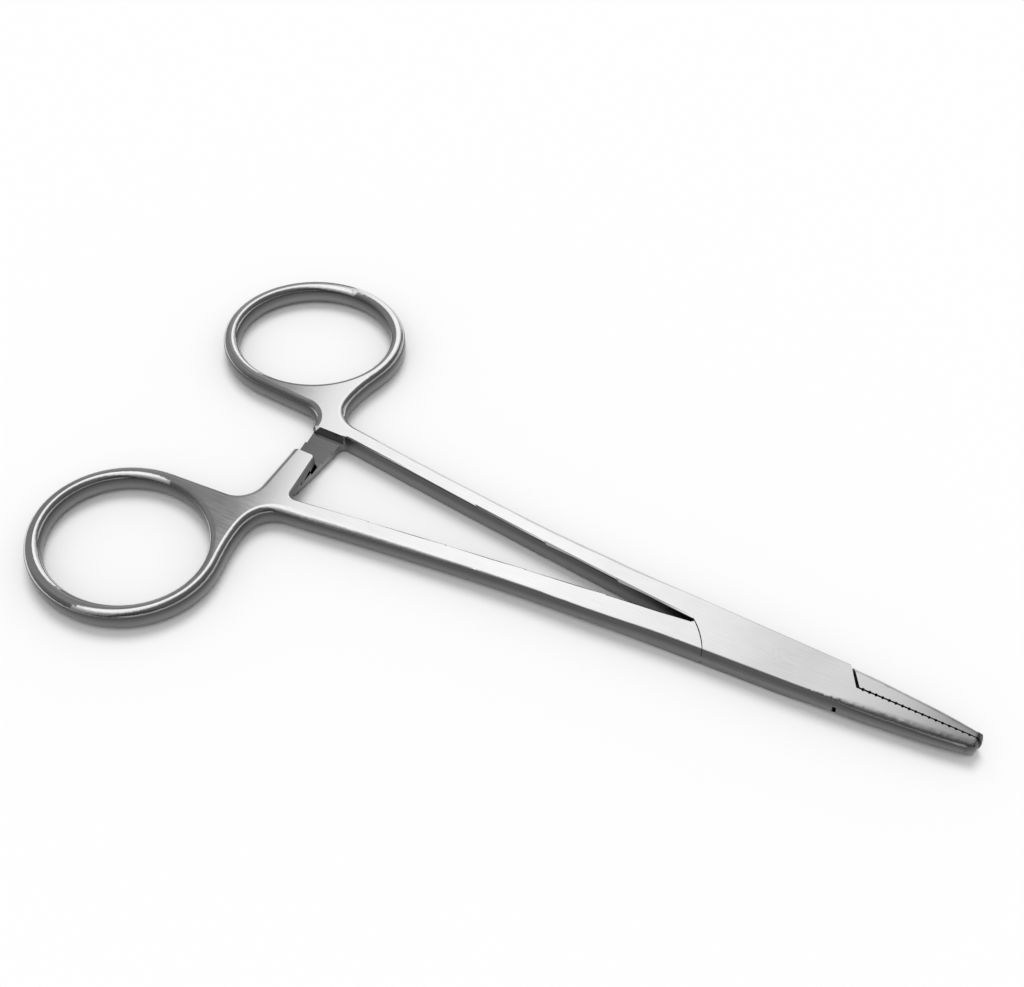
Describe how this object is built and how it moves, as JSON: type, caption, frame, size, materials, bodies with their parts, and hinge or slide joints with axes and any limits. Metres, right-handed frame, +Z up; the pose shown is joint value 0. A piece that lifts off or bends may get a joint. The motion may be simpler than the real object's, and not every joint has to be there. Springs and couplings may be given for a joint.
{
  "type": "needle holder",
  "caption": "Locking surgical needle holder with finger rings, slim shanks, ratchet arms, a box lock on a flush pin and grooved jaws.",
  "frame": {"origin": "on the axis of the lock pin, at the flat underside of the box", "axes": "+X to the jaw tips, +Y to the finger ring of the slotted half, +Z up out of the side that carries the upper ratchet arm"},
  "size_m": [0.1494, 0.0862, 0.004],
  "materials": {
    "ground_steel": "satin polish",
    "pin_steel": "ground flush"
  },
  "bodies": {
    "slotted_side": {"slotted_half": "ground_steel", "lock_pin": "pin_steel"},
    "through_side": {"through_half": "ground_steel"}
  },
  "joints": [
    {"name": "box_lock", "type": "hinge", "parent": "slotted_side", "child": "through_side", "pos_m": [0, 0, 0], "axis": [0, 0, 1], "range_deg": [0, 60]}
  ]
}
